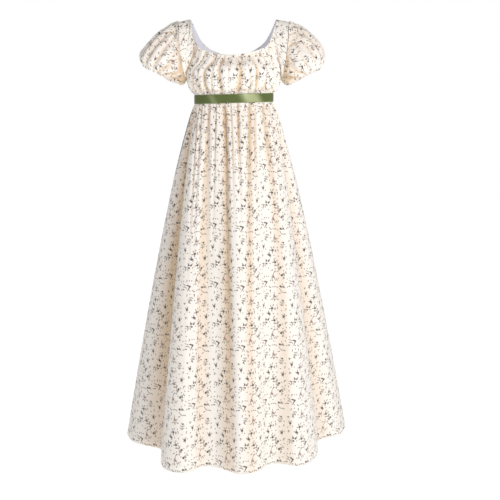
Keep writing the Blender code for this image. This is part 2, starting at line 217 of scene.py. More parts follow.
def lengths(points, axis):
    """How far each point is from the first one, measured along its row or column."""
    steps = np.linalg.norm(np.diff(points, axis=axis), axis=2)
    start = np.zeros_like(np.take(steps, [0], axis=axis))
    return np.concatenate([start, np.cumsum(steps, axis=axis)], axis=axis)


def keep(mesh, name, values):
    made = mesh.attributes.new(name, "FLOAT", "POINT")
    made.data.foreach_set("value", values)


def lay(name, points, material, crease_shade=0.0, wall=COTTON, closed=False, shift=(0, 0), stitch_up=None):
    """One piece of cloth: a grid on the surface, with its flat map, its finish and its wall."""
    rows, columns = points.shape[:2]
    across = lengths(points, 1)
    across -= across[:, columns // 2 : columns // 2 + 1]
    up = lengths(points, 0)
    flat = np.stack([across + shift[0], up + shift[1]], axis=-1).reshape(-1, 2)
    bm = bmesh.new()
    spot = bm.verts.layers.int.new("spot")
    grid = bmesh.ops.create_grid(bm, x_segments=columns - 1, y_segments=rows - 1, size=1)
    for number, (vert, place) in enumerate(zip(grid["verts"], points.reshape(-1, 3))):
        vert.co = place
        vert[spot] = number
    cut = bm.loops.layers.uv.new("cut")
    for face in bm.faces:
        for loop in face.loops:
            loop[cut].uv = flat[loop.vert[spot]]
    if closed:
        bmesh.ops.remove_doubles(bm, verts=bm.verts, dist=1e-6)
    numbers = [vert[spot] for vert in bm.verts]
    bm.verts.layers.int.remove(spot)
    mesh = bpy.data.meshes.new(name)
    bm.to_mesh(mesh)
    bm.free()
    # the painted shade between folds, kept for the cotton's colour
    keep(mesh, "crease_shade", np.broadcast_to(crease_shade, up.shape).reshape(-1)[numbers])
    if stitch_up is None:
        from_stitch = np.full(up.shape, 1.0)
    elif stitch_up > 0:
        from_stitch = up - stitch_up
    else:
        from_stitch = up[-1] - up + stitch_up
    keep(mesh, "from_stitch", from_stitch.reshape(-1)[numbers])
    mesh.shade_smooth()
    mesh.materials.append(material)
    piece = bpy.data.objects.new(name, mesh)
    bpy.context.scene.collection.objects.link(piece)
    solid = piece.modifiers.new("wall", "SOLIDIFY")
    solid.thickness = wall
    solid.offset = -1
    solid.use_even_offset = False
    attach(piece, "root")
    area = sum(p.area for p in mesh.polygons)
    size = f"{np.ptp(across):.2f} by {up.max():.2f} m"
    print(f"{name}: {len(mesh.polygons)} faces, {size}, {area:.3f} m2")
    return piece


# %% [markdown]
# ## Finishes
#
# A material is a graph of nodes. Written as plain Python, a mask reads like the sum it is: Value
# wraps a socket, and its operators add the Math nodes.


# %% A small language for shader maths
class Value:
    """A socket of a node tree that Python's own operators work on."""

    def __init__(self, tree, socket):
        self.tree, self.socket = tree, socket

    def node(self, kind, settings=None, inputs=None, out=0):
        made = self.tree.nodes.new(kind)
        for key, value in (settings or {}).items():
            setattr(made, key, value)
        for key, value in (inputs or {}).items():
            if isinstance(value, Value):
                self.tree.links.new(value.socket, made.inputs[key])
            else:
                made.inputs[key].default_value = value
        return Value(self.tree, made.outputs[out])

    def maths(self, operation, *others, first=None):
        values = [self if first is None else first, *others]
        inputs = dict(enumerate(values))
        return self.node("ShaderNodeMath", {"operation": operation}, inputs)

    def __add__(self, other):
        return self.maths("ADD", other)

    __radd__ = __add__

    def __mul__(self, other):
        return self.maths("MULTIPLY", other)

    __rmul__ = __mul__

    def __sub__(self, other):
        return self.maths("SUBTRACT", other)

    def __rsub__(self, other):
        return self.maths("SUBTRACT", self, first=other)

    def at_least(self, other):
        return self.maths("MAXIMUM", other)

    def sine(self):
        return self.maths("SINE")

    def size(self):
        return self.maths("ABSOLUTE")

    def step(self, low, high, to_low=0.0, to_high=1.0):
        limits = {"From Min": low, "From Max": high, "To Min": to_low, "To Max": to_high}
        settings = {"interpolation_type": "SMOOTHSTEP"}
        return self.node("ShaderNodeMapRange", settings, {"Value": self, **limits})

    def vector(self, operation, *others, out=0, **named):
        inputs = {0: self, **{n + 1: other for n, other in enumerate(others)}, **named}
        return self.node("ShaderNodeVectorMath", {"operation": operation}, inputs, out)


def mix(mask, low, high):
    """A colour between two colours, by a mask."""
    colours = [c if isinstance(c, Value) else (*c, 1) for c in (low, high)]
    inputs = {0: mask, 6: colours[0], 7: colours[1]}
    return mask.node("ShaderNodeMix", {"data_type": "RGBA"}, inputs, 2)


def new_finish(name, **constants):
    """A material, a Value to start expressions from, and its Principled shader."""
    material = bpy.data.materials.new(name)
    material.use_nodes = True
    shader = material.node_tree.nodes["Principled BSDF"]
    for key, value in constants.items():
        shader.inputs[key.replace("_", " ")].default_value = value
    return material, Value(material.node_tree, None), shader


def feed(shader, key, value):
    value.tree.links.new(value.socket, shader.inputs[key])


def flat_cut(start):
    return start.node("ShaderNodeUVMap", {"uv_map": "cut"})


def parts(vector):
    """The first two numbers of a vector."""
    first = vector.node("ShaderNodeSeparateXYZ", None, {"Vector": vector}, 0)
    return first, Value(vector.tree, first.socket.node.outputs[1])


def kept(start, name):
    """A value that lay() kept for each place on the cloth."""
    return start.node("ShaderNodeAttribute", {"attribute_name": name}, None, 2)


def feed_bump(shader, start, height, strength, distance):
    inputs = {"Height": height, "Strength": strength, "Distance": distance}
    feed(shader, "Normal", start.node("ShaderNodeBump", None, inputs))


print("a Value knows", sum(callable(made) for made in vars(Value).values()), "operations")

# %% [markdown]
# ## The print
#
# A roller prints small sprigs on cream cotton, so a whole patch of them comes back again and again,
# every hand's breadth across and two hands up. Each sprig is a handful of strokes, some dark and
# full, the others paler and thin. A stroke is a leaf shape: a Mapping node moves, turns and
# stretches the cloth's own coordinates until the leaf is a circle of radius 1 round the origin, and
# the distance to it gives the mask. Writing the sprigs as a table keeps them easy to redraw.

# %% The sprigs, in millimetres from their own middle
Stroke = namedtuple("Stroke", "x y turn long wide ink")
DARK, SAGE, ROSE = "dark", "sage", "rose"
INKS = {SAGE: (0.285, 0.265, 0.230), ROSE: (0.260, 0.130, 0.115), DARK: (0.060, 0.036, 0.028)}
STRENGTH = {SAGE: 0.85, ROSE: 0.72, DARK: 0.92}
STROKE_LONGER = 0.95
STROKE_WIDER = 1.35
BERRY_STEM = [
    Stroke(3.0, 8.0, 10, 3.6, 2.2, DARK),
    Stroke(11.0, 7.0, -30, 3.2, 2.6, DARK),
    Stroke(4.5, -1.0, 50, 2.8, 2.4, DARK),
    Stroke(-2.0, 1.0, 20, 4.6, 1.0, SAGE),
    Stroke(-11.0, 1.5, 4, 5.2, 1.5, SAGE),
    Stroke(-8.0, -7.0, 62, 6.0, 1.5, SAGE),
    Stroke(-0.5, -6.5, 110, 4.6, 1.2, SAGE),
]
COMB = [
    Stroke(10.0, 2.0, -35, 3.4, 2.9, DARK),
    Stroke(4.0, 5.5, -12, 5.2, 1.7, DARK),
    Stroke(-9.0, 8.5, -24, 7.0, 1.0, SAGE),
    Stroke(7.0, -4.5, 62, 4.6, 1.3, DARK),
    Stroke(-8.0, 0.5, -6, 5.6, 1.4, SAGE),
    Stroke(-1.5, -2.0, 118, 4.8, 1.0, ROSE),
    Stroke(-12.0, -8.0, 4, 4.8, 1.7, SAGE),
    Stroke(3.0, -10.0, 40, 3.2, 1.2, SAGE),
]
STAR = [
    Stroke(0.0, 0.0, 60, 4.0, 2.7, DARK),
    Stroke(-3.5, 6.5, 112, 4.4, 1.5, SAGE),
    Stroke(5.5, 6.5, 48, 4.6, 1.3, SAGE),
    Stroke(-6.5, -1.5, 28, 4.4, 1.4, SAGE),
    Stroke(2.5, -9.0, 12, 5.0, 1.9, SAGE),
    Stroke(8.5, 0.5, 155, 3.0, 1.1, SAGE),
]
ROSE_SPRAY = [
    Stroke(0.5, 11.0, 80, 4.6, 1.0, SAGE),
    Stroke(-1.5, 3.5, 70, 4.8, 2.4, ROSE),
    Stroke(2.6, -1.0, 130, 3.8, 2.0, ROSE),
    Stroke(-4.0, -2.5, 40, 3.0, 1.7, ROSE),
    Stroke(0.5, 0.5, 0, 1.7, 1.7, DARK),
    Stroke(-3.0, -10.0, 100, 4.8, 1.5, SAGE),
    Stroke(6.5, -8.5, 135, 4.0, 1.2, SAGE),
]
BIRD_LEAF = [
    Stroke(-6.5, -0.5, 25, 3.6, 2.6, DARK),
    Stroke(-1.0, 3.5, 40, 5.4, 2.6, SAGE),
    Stroke(6.0, 10.0, 62, 4.2, 1.2, SAGE),
    Stroke(2.0, 0.0, 80, 2.2, 1.2, DARK),
    Stroke(0.5, -7.0, -42, 5.0, 1.4, SAGE),
]
CRESCENT = [
    Stroke(-8.0, 7.0, 60, 3.6, 2.5, DARK),
    Stroke(0.5, 7.5, 105, 4.2, 2.8, SAGE),
    Stroke(-9.0, -3.0, -62, 4.6, 1.1, SAGE),
    Stroke(-4.0, -9.0, -38, 4.8, 1.3, SAGE),
    Stroke(4.0, -10.5, 14, 5.0, 1.2, SAGE),
]
BUD = [
    Stroke(0.0, 0.0, 76, 4.0, 2.8, DARK),
    Stroke(2.6, 5.5, 60, 4.2, 1.5, SAGE),
    Stroke(-3.8, 4.5, 118, 4.0, 1.2, SAGE),
    Stroke(-0.5, -6.0, 84, 4.0, 0.9, SAGE),
]
FERN = [
    Stroke(0.0, -2.0, 78, 8.5, 0.8, SAGE),
    Stroke(-4.2, 1.0, 140, 3.8, 1.3, SAGE),
    Stroke(4.4, 2.5, 30, 4.0, 1.3, SAGE),
    Stroke(-4.6, -6.0, 150, 3.6, 1.2, SAGE),
    Stroke(3.6, -5.0, 24, 3.8, 1.3, SAGE),
    Stroke(1.4, 8.5, 78, 3.2, 1.9, DARK),
]

# %% [markdown]
# The patch that repeats is charted once: which sprig stands where, and how it is turned. Most
# sprigs come two or three times in a patch. Their strokes are still drawn once, in the coordinates
# of whichever of its places is the nearest, because a shader can hold only so many values at once.

# %% The patch that repeats
Spot = namedtuple("Spot", "x y turn")
PATCH = (0.098, 0.186)
CHART = [
    (COMB, [Spot(14, 18, 0)]),
    (BERRY_STEM, [Spot(20, 80, 0)]),
    (BUD, [Spot(12, 134, 4), Spot(82, 100, 14), Spot(33, 106, 30)]),
    (ROSE_SPRAY, [Spot(47, 36, 0), Spot(52, 160, 10)]),
    (STAR, [Spot(52, 84, -8), Spot(44, 122, 70)]),
    (BIRD_LEAF, [Spot(80, 46, 0), Spot(64, 68, 200)]),
    (CRESCENT, [Spot(78, 2, 0)]),
    (FERN, [Spot(76, 142, -10), Spot(24, 165, 160)]),
]
print(sum(len(spots) for _, spots in CHART), "sprigs of", len(CHART), "kinds")


# %% Draw the sprigs on the cloth
def wrapped(place, wide, tall):
    """The place in a patch of this size that repeats, from minus half of it to plus half."""
    return place.vector("WRAP", (wide / 2, tall / 2, 1.0), (-wide / 2, -tall / 2, -1.0))


def from_spot(place, spot):
    moved = wrapped(place.vector("SUBTRACT", (spot.x * MM, spot.y * MM, 0.0)), *PATCH)
    turn = {"Vector": moved, "Rotation": (0, 0, math.radians(spot.turn))}
    return moved.node("ShaderNodeMapping", {"vector_type": "TEXTURE"}, turn)


def nearer(one, other):
    """Whichever of two vectors is the shorter."""
    swap = other.vector("LENGTH", out=1).maths("LESS_THAN", one.vector("LENGTH", out=1))
    return one.node("ShaderNodeMix", {"data_type": "VECTOR"}, {0: swap, 4: one, 5: other}, 1)


def leaf(local, stroke):
    """1 inside one leaf shape, 0 outside, in the coordinates of its sprig."""
    turned = {
        "Vector": local,
        "Location": (stroke.x * MM, stroke.y * MM, 0),
        "Rotation": (0, 0, math.radians(stroke.turn)),
        "Scale": (stroke.long * STROKE_LONGER * MM, stroke.wide * STROKE_WIDER * MM, 1),
    }
    shape = local.node("ShaderNodeMapping", {"vector_type": "TEXTURE"}, turned)
    return shape.vector("LENGTH", out=1).step(1.15, 0.85)


def add_strokes(inks, local, strokes, picked=None):
    for stroke in strokes:
        mask = leaf(local, stroke)
        if picked is not None:
            mask = mask * picked
        inks[stroke.ink] = mask.at_least(inks[stroke.ink]) if stroke.ink in inks else mask


def draw_sprigs(place):
    inks = {}
    for strokes, spots in CHART:
        local = from_spot(place, spots[0])
        for spot in spots[1:]:
            local = nearer(local, from_spot(place, spot))
        add_strokes(inks, local, strokes)
    return inks


# %% [markdown]
# Between the sprigs lie dots and short dashes. Those are scattered: the cloth is split into cells,
# and a random draw for each cell says whether it holds a mark, where, and how it lies.


# %% Scatter dots and dashes
def scatter(place, across, seed, loose):
    """A place inside each cell, in metres from its mark, and three draws for the cell."""
    count = (across, round(PATCH[1] / PATCH[0] * across), 1.0)
    cell = (PATCH[0] / count[0], PATCH[1] / count[1], 1.0)
    scaled = place.vector("DIVIDE", cell)
    index = scaled.vector("FLOOR")
    salted = index.vector("WRAP", count, (0.0, 0.0, 0.0)).vector("ADD", (seed, seed * 2.0, 0.0))
    draws = place.node(
        "ShaderNodeTexWhiteNoise", {"noise_dimensions": "2D"}, {"Vector": salted}, "Color"
    )
    inside = scaled.vector("SUBTRACT", index)
    moved = draws.vector("SUBTRACT", (0.5, 0.5, 0.5)).vector("SCALE", Scale=loose)
    moved = moved.vector("ADD", (0.5, 0.5, 0.0))
    metres = inside.vector("SUBTRACT", moved).vector("MULTIPLY", (cell[0], cell[1], 0.0))
    return metres, draws


def draw_of(draws, number):
    return draws.node("ShaderNodeSeparateColor", None, {"Color": draws}, number)


def add_marks(inks, place, across, seed, share, strokes):
    """One small mark of a few strokes in each cell that the draw picks."""
    local, draws = scatter(place, across, seed, LOOSE)
    turn = {"Vector": local, "Angle": draw_of(draws, 0) * MOST_TURN}
    local = local.node("ShaderNodeVectorRotate", {"rotation_type": "Z_AXIS"}, turn)
    add_strokes(inks, local, strokes, draw_of(draws, 2).maths("LESS_THAN", share))


LOOSE = 0.62
MOST_TURN = 3.2
DOT = [Stroke(0, 0, 0, 2.2, 1.3, SAGE), Stroke(0.2, 0, 0, 1.3, 0.7, DARK)]
DASH = [Stroke(-1.4, 0, 8, 2.4, 1.1, DARK), Stroke(2.4, 0.4, -4, 3.2, 0.8, SAGE)]
print("a dot of", len(DOT), "strokes and a dash of", len(DASH))


def draw_print(place):
    """The three inks' masks over the whole cloth."""
    inks = draw_sprigs(place)
    add_marks(inks, place, across=7, seed=11.0, share=0.70, strokes=DOT)
    add_marks(inks, place, across=4, seed=17.0, share=0.60, strokes=DASH)
    return inks


# %% [markdown]
# The cotton itself is matt. Its threads are far finer than the folds, so they only show close up,
# as a faint bump of two crossing waves and as slightly thicker threads here and there. Shade is
# painted into the valleys: the cream turns to peach, and where they are deepest to tan. The prints
# come on top, and last the stitches that hold the turned edges.


# %% The printed cotton
THREAD = 0.00055
THREAD_BUMP = (0.25, 0.00012)
CREAM = (0.900, 0.866, 0.815)
PEACH_SHADE = (0.850, 0.745, 0.640)
TAN_SHADE = (0.690, 0.535, 0.365)
SLUB = (0.80, 0.74, 0.67)
STITCH = (0.62, 0.56, 0.48)
STITCH_LONG = 0.0032
STITCH_WIDE = 0.0006


def streaks(place, along, across):
    """Noise drawn out along the threads, with so many changes in a metre each way."""
    inputs = {"Vector": place.vector("MULTIPLY", (along, across, 1.0)), "Scale": 1.0}
    return place.node("ShaderNodeTexNoise", {"noise_dimensions": "2D"}, inputs)


def weave(place):
    """Two crossing waves of thread, and how thick each thread happens to be."""
    along, up = parts(place)
    beat = math.tau / THREAD
    threads = (along * beat).sine() * (up * beat).sine()
    return threads, streaks(place, 90.0, 1500.0)


def stitching(start, place):
    """1 on the short stitches of the line that holds the turned edge, 0 beside them."""
    along, _ = parts(place)
    dashes = (along * (math.tau / STITCH_LONG)).sine().step(-0.5, -0.2)
    return kept(start, "from_stitch").size().step(STITCH_WIDE, STITCH_WIDE / 2) * dashes


def make_cotton():
    material, start, shader = new_finish("printed cotton", Roughness=0.85, Sheen_Weight=0.15)
    place = flat_cut(start)
    threads, slubs = weave(place)
    crease_shade = kept(start, "crease_shade")
    # painted shade: the cream turns peach, then tan, by how deep a place lies between folds
    cloth = mix(crease_shade.step(0.0, 0.55), CREAM, PEACH_SHADE)
    cloth = mix(crease_shade.step(0.45, 1.0), cloth, TAN_SHADE)
    cloth = mix((slubs - 0.5).size() * 0.25, cloth, SLUB)
    inks = draw_print(place)
    for ink in INKS:
        cloth = mix(inks[ink] * STRENGTH[ink], cloth, INKS[ink])
    stitches = stitching(start, place)
    cloth = mix(stitches * 0.8, cloth, STITCH)
    feed(shader, "Base Color", cloth)
    feed_bump(shader, start, threads * 0.5 + slubs * 0.5 - stitches * 3.0, *THREAD_BUMP)
    return material


cotton = make_cotton()
print("printed cotton:", len(cotton.node_tree.nodes), "nodes")

# %% [markdown]
# ## The skirt
#
# The skirt is two panels, much wider at the hem than at the waist, gathered onto the ring under the
# bust. Seen from above, its hem is a wavy line, and each wave is a flute that hangs down from the
# gathers. The table gives that line, and the direction on the waist ring from which each place
# hangs. Straight lines of cloth join the two, and open out from just below the ribbon.

# %% The hem's line, and where it hangs from
HemPoint = namedtuple("HemPoint", "across forward waist_deg")
FRONT_HEM = [
    HemPoint(-0.372, -0.030, -90),
    HemPoint(-0.340, 0.050, -87),
    HemPoint(-0.296, 0.094, -84),
    HemPoint(-0.254, 0.122, -81.5),
    HemPoint(-0.238, 0.180, -79.5),
    HemPoint(-0.231, 0.250, -77),
    HemPoint(-0.213, 0.312, -71),
    HemPoint(-0.160, 0.342, -60),
    HemPoint(-0.122, 0.322, -46),
    HemPoint(-0.092, 0.286, -34),
    HemPoint(-0.060, 0.288, -22),
    HemPoint(-0.020, 0.334, -14),
    HemPoint(0.028, 0.356, 4),
    HemPoint(0.064, 0.348, 24),
    HemPoint(0.092, 0.308, 34),
    HemPoint(0.111, 0.270, 41),
    HemPoint(0.134, 0.258, 46),
    HemPoint(0.160, 0.270, 52),
    HemPoint(0.193, 0.284, 60),
    HemPoint(0.230, 0.268, 68),
    HemPoint(0.262, 0.212, 75),
    HemPoint(0.278, 0.140, 79),
    HemPoint(0.284, 0.056, 83),
    HemPoint(0.310, 0.014, 86),
    HemPoint(0.352, -0.010, 88),
    HemPoint(0.384, -0.080, 90),
]
BACK_HEM = [
    HemPoint(0.384, -0.080, 90),
    HemPoint(0.392, -0.140, 97),
    HemPoint(0.362, -0.200, 105),
    HemPoint(0.310, -0.220, 113),
    HemPoint(0.280, -0.268, 122),
    HemPoint(0.236, -0.320, 131),
    HemPoint(0.186, -0.306, 141),
    HemPoint(0.146, -0.288, 150),
    HemPoint(0.104, -0.330, 160),
    HemPoint(0.050, -0.362, 171),
    HemPoint(0.000, -0.330, 181),
    HemPoint(-0.044, -0.318, 191),
    HemPoint(-0.090, -0.352, 201),
    HemPoint(-0.142, -0.346, 211),
    HemPoint(-0.180, -0.298, 220),
    HemPoint(-0.222, -0.284, 229),
    HemPoint(-0.272, -0.292, 238),
    HemPoint(-0.312, -0.244, 246),
    HemPoint(-0.322, -0.176, 254),
    HemPoint(-0.352, -0.120, 262),
    HemPoint(-0.372, -0.030, 270),
]
print("hem from", FRONT_HEM[0].across, "to", FRONT_HEM[-1].across)

# %% [markdown]
# Between the flutes run narrower folds. Each starts at a gather, sways a little on its way down,
# and is deepest at its own height. The table gives the direction it starts from and, all in
# millimetres, how far it sways, its half width at the top and at the hem, and its depth at five
# heights. The first and the last in front are broad hollows down the gown's two sides.

# %% The long folds of the skirt
Fold = namedtuple("Fold", "waist_deg sway top_half hem_half depths")
FOLD_HEIGHTS = (0.0125, 0.07, 0.25, 0.6, 1.0)
FRONT_FOLDS = [
    Fold(-82, 0, 8, 70, (3, 8, 14, 15, 9)),
    Fold(-64, 6, 3, 12, (2, 5, 4, 1, 0)),
    Fold(-54, -4, 3, 12, (3, 5, 4, 2, 0)),
    Fold(-39, -3, 4.5, 30, (3, 8, 10, 9, 5)),
    Fold(-26, -4, 2.5, 9, (3, 6, 3, 0, 0)),
    Fold(-14.5, 0, 5.5, 36, (4, 12, 15, 15, 10)),
    Fold(-4, 4, 2.5, 9, (3, 5, 2, 0, 0)),
    Fold(6, 3, 3.5, 12, (4, 8, 3, 0, 0)),
    Fold(25, -6, 5, 30, (5, 9, 11, 11, 8)),
    Fold(33, 2, 3, 14, (3, 6, 3, 1, 0)),
    Fold(50, 24, 5.5, 36, (4, 8, 9, 9, 7)),
    Fold(66, 4, 3, 12, (3, 6, 3, 1, 0)),
    Fold(75, -3, 3, 12, (2, 5, 2, 0, 0)),
    Fold(84, 0, 5, 62, (2, 6, 9, 10, 8)),
]
BACK_FOLDS = [
    Fold(98, 4, 3, 16, (2, 4, 4, 2, 0)),
    Fold(108, 0, 4, 20, (2, 5, 9, 8, 5)),
    Fold(124, -6, 3, 14, (2, 5, 5, 2, 1)),
    Fold(142, 0, 4, 22, (4, 8, 10, 9, 6)),
    Fold(158, 6, 3, 12, (2, 5, 4, 1, 0)),
    Fold(176, 0, 4, 18, (4, 8, 10, 8, 5)),
    Fold(190, -4, 3, 13, (2, 5, 4, 1, 0)),
    Fold(206, 5, 4, 22, (3, 7, 10, 8, 4)),
    Fold(224, -6, 3, 14, (2, 5, 6, 3, 0)),
    Fold(242, 0, 4, 22, (2, 5, 9, 8, 5)),
    Fold(258, 4, 3, 16, (1, 3, 4, 2, 1)),
]
print(len(FRONT_FOLDS), "folds in front and", len(BACK_FOLDS), "behind")

# %% [markdown]
# The waist seam gathers the cloth three times over: many short small valleys, fewer that run on a
# hand's length, and a few that reach well down the skirt. Each row is their spacing along the seam
# in metres, their depth in millimetres and how far they run in metres.


# %% The skirt's surface
SKIRT_GATHERS = [(0.0085, 3.0, 0.070), (0.0160, 4.2, 0.170), (0.0330, 4.6, 0.420)]


def waist_point(degrees):
    """A place on the waist ring: 0 degrees is the middle of the front, 90 the right, seen from there."""
    angle = np.radians(degrees)
    across = WAIST_WIDE * np.sin(angle)
    up = WAIST_UP + WAIST_TILT * np.sin(angle)
    return np.stack([across, -WAIST_DEEP * np.cos(angle), up], axis=-1)


def skirt_columns(hem, columns):
    """Places along the hem, closer together where many gathers start."""
    plan = np.array([(p.across, -p.forward) for p in hem])
    steps = np.linalg.norm(np.diff(plan, axis=0), axis=1)
    stops = np.concatenate([[0], np.cumsum(steps)])
    fine = np.linspace(SEAM, stops[-1] - SEAM, 4000)
    degrees = smooth(stops, [p.waist_deg for p in hem], fine)[:, 0]
    share = 0.4 * fine / fine[-1] + 0.6 * (degrees - degrees[0]) / (degrees[-1] - degrees[0])
    along = np.interp(np.linspace(share[0], share[-1], columns + 1), share, fine)
    return smooth(stops, plan, along), np.interp(along, fine, degrees)


def skirt_surface(hem, folds, columns, rows, seed):
    """Rows from the hem up to the waist, and how deep each place lies in the small folds."""
    hem_plan, degrees = skirt_columns(hem, columns)
    top = waist_point(degrees)
    top[:, 2] -= SEAM / 2
    bottom = np.column_stack([hem_plan, np.full(columns + 1, HEM_UP)])
    fall = WAIST_UP - HEM_UP
    held = HELD / fall
    down = (np.linspace(1, 0, rows + 1) ** 1.5)[:, None]
    opened = np.clip((down - held) / (1 - held), 0, 1) ** 0.8
    points = np.empty((rows + 1, columns + 1, 3))
    points[..., :2] = top[:, :2] + (bottom - top)[:, :2] * opened[..., None]
    points[..., 2] = top[:, 2] + (bottom - top)[:, 2] * down

    level = unit(outward(points) * (1, 1, 0))
    relief = np.zeros(points.shape[:2])
    along = lengths(points, 1)
    for fold in folds:
        depth = smooth((0.0, *FOLD_HEIGHTS), [[0.0], *[[d] for d in fold.depths]], down[:, 0]) * MM
        middle = np.array([np.interp(fold.waist_deg, degrees, row) for row in along])[:, None]
        middle = middle + fold.sway * MM * np.sin(down * 2.4)
        half = (fold.top_half + (fold.hem_half - fold.top_half) * down**0.8) * MM
        relief += depth * np.exp(-np.abs((along - middle) / half) ** 2.4)
    seam = np.radians(degrees) * (WAIST_WIDE + WAIST_DEEP) / 2
    away = np.clip(down - held * 0.6, 0, 1) * fall
    for number, (spacing, deep, reach) in enumerate(SKIRT_GATHERS):
        relief += gathers(seam, away, spacing, deep * MM, reach, seed + number)
    return points - level * relief[..., None], relief


print("waist at the front:", waist_point(np.array([0.0]))[0].round(3))

# %% [markdown]
# The painted shade in the folds depends on how deep a place lies between its neighbours. hollow()
# compares every point with the average of its row within reach of it, and counts a place that lies
# scale deeper as 1. The function after it adds two such measures to the depth of the folds and
# gathers, which counts most, to give the share of painted shade.


# %% How deep each place lies
FOLD_FULL = 0.016
TINY = 1e-6


def hollow(points, normals, reach, scale):
    out = np.zeros(points.shape[:2])
    for number, (row, along) in enumerate(zip(points, lengths(points, 1))):
        steps = np.diff(along)[:, None]
        total = np.concatenate([np.zeros((1, 3)), np.cumsum((row[1:] + row[:-1]) / 2 * steps, axis=0)])
        half = np.minimum(reach, np.minimum(along, along[-1] - along))
        for k in range(3):
            area = np.interp(along + half, along, total[:, k]) - np.interp(along - half, along, total[:, k])
            mean = np.where(half > TINY, area / np.maximum(2 * half, TINY), row[:, k])
            out[number] += (mean - row[:, k]) * normals[number, :, k]
    return np.clip(out / scale, 0, 1)


def shade_in_creases(points, relief, full=FOLD_FULL, closed=False):
    """How much painted shade a place gets: 0 on the open cloth, 1 where pressed in by a full valley's
    depth.
    """
    normals = outward(points, closed)
    fine = hollow(points, normals, 0.006, 0.0016)
    wide = hollow(points, normals, 0.050, 0.0200)
    pressed_in = np.clip((relief - 0.0015) / full, 0, 1)
    return np.clip(0.30 * fine + 0.15 * wide + pressed_in, 0, 1)


print("a full valley is", FOLD_FULL / MM, "mm deep")

# %% Make the skirt
for name, hem, folds, columns, rows, seed, shift in (
    ("skirt-front", FRONT_HEM, FRONT_FOLDS, 460, 100, 11, (0.0, 0.0)),
    ("skirt-back", BACK_HEM, BACK_FOLDS, 320, 90, 31, (0.9, 0.0)),
):
    points, relief = skirt_surface(hem, folds, columns, rows, seed)
    crease_shade = shade_in_creases(points, relief)
    piece = lay(name, points, cotton, crease_shade, shift=shift, stitch_up=HEM_STITCH)
    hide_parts(name.replace("-", "_"))

# %% [markdown]
# ## The bodice
#
# The bodice starts at the waist ring, blouses out a little above the ribbon and then runs up to the
# neck in front and behind. Rings give its form up to the underarm. Above that, smooth lines run on
# to the neck's edge, and near the sides they lean over to meet the armholes.

# %% The bodice's edges and rings
EdgePoint = namedtuple("EdgePoint", "along across forward up")
FRONT_NECK = [
    EdgePoint(0.05, -0.139, 0.000, 0.002),
    EdgePoint(0.065, -0.1385, 0.013, 0.000),
    EdgePoint(0.08, -0.137, 0.026, -0.008),
    EdgePoint(0.11, -0.131, 0.050, -0.042),
    EdgePoint(0.15, -0.121, 0.068, -0.074),
    EdgePoint(0.19, -0.110, 0.082, -0.091),
    EdgePoint(0.25, -0.090, 0.095, -0.100),
    EdgePoint(0.37, -0.046, 0.108, -0.113),
    EdgePoint(0.50, 0.000, 0.112, -0.115),
    EdgePoint(0.63, 0.048, 0.108, -0.108),
    EdgePoint(0.75, 0.088, 0.096, -0.096),
    EdgePoint(0.81, 0.106, 0.083, -0.087),
    EdgePoint(0.85, 0.117, 0.067, -0.070),
    EdgePoint(0.89, 0.127, 0.050, -0.040),
    EdgePoint(0.92, 0.134, 0.026, -0.008),
    EdgePoint(0.935, 0.1365, 0.013, 0.000),
    EdgePoint(0.95, 0.137, 0.000, 0.002),
]
BACK_NECK = [
    EdgePoint(0.05, 0.137, 0.000, 0.002),
    EdgePoint(0.07, 0.135, -0.014, -0.001),
    EdgePoint(0.09, 0.132, -0.027, -0.010),
    EdgePoint(0.18, 0.107, -0.056, -0.060),
    EdgePoint(0.28, 0.078, -0.074, -0.086),
    EdgePoint(0.39, 0.041, -0.086, -0.103),
    EdgePoint(0.50, 0.000, -0.090, -0.107),
    EdgePoint(0.61, -0.041, -0.086, -0.104),
    EdgePoint(0.72, -0.080, -0.074, -0.088),
    EdgePoint(0.82, -0.109, -0.056, -0.061),
    EdgePoint(0.91, -0.133, -0.027, -0.010),
    EdgePoint(0.93, -0.137, -0.014, -0.001),
    EdgePoint(0.95, -0.139, 0.000, 0.002),
]
BodiceRing = namedtuple("BodiceRing", "along half_wide front_deep back_deep up tilt_share")
BODICE_RINGS = [
    BodiceRing(0.00, 0.1275, 0.0960, 0.0960, -0.25125, 1.0),
    BodiceRing(0.10, 0.1278, 0.0963, 0.0963, -0.23675, 1.0),
    BodiceRing(0.17, 0.1385, 0.1140, 0.1060, -0.22900, 0.6),
    BodiceRing(0.25, 0.1490, 0.1280, 0.1110, -0.21200, 0.2),
    BodiceRing(0.36, 0.1530, 0.1370, 0.1110, -0.18800, 0.0),
]
ARMHOLE = [
    EdgePoint(0.36, -0.1530, 0.000, -0.1880),
    EdgePoint(0.44, -0.1570, 0.026, -0.1800),
    EdgePoint(0.54, -0.1640, 0.047, -0.1570),
    EdgePoint(0.66, -0.1710, 0.059, -0.1200),
    EdgePoint(0.78, -0.1745, 0.057, -0.0750),
    EdgePoint(0.89, -0.1765, 0.043, -0.0330),
    EdgePoint(0.95, -0.1785, 0.025, -0.0130),
    EdgePoint(1.00, -0.1800, 0.000, -0.0060),
    EdgePoint(1.05, -0.1785, -0.025, -0.0130),
]
UNDERARM = BODICE_RINGS[-1].along
BACK_DEPTH = 0.92
SHOULDER_RUN = 0.075
STRAP = 0.05
LEAN_REACH = (0.42, 0.17, 0.42)
print("neck opening", round(FRONT_NECK[-1].across - FRONT_NECK[0].across, 3), "m wide")


# %% The bodice's surface
def edge_line(points, at):
    """Places on an edge of the bodice, read from its table."""
    rows = [(p.across, -p.forward, p.up) for p in points]
    return smooth([p.along for p in points], rows, at)


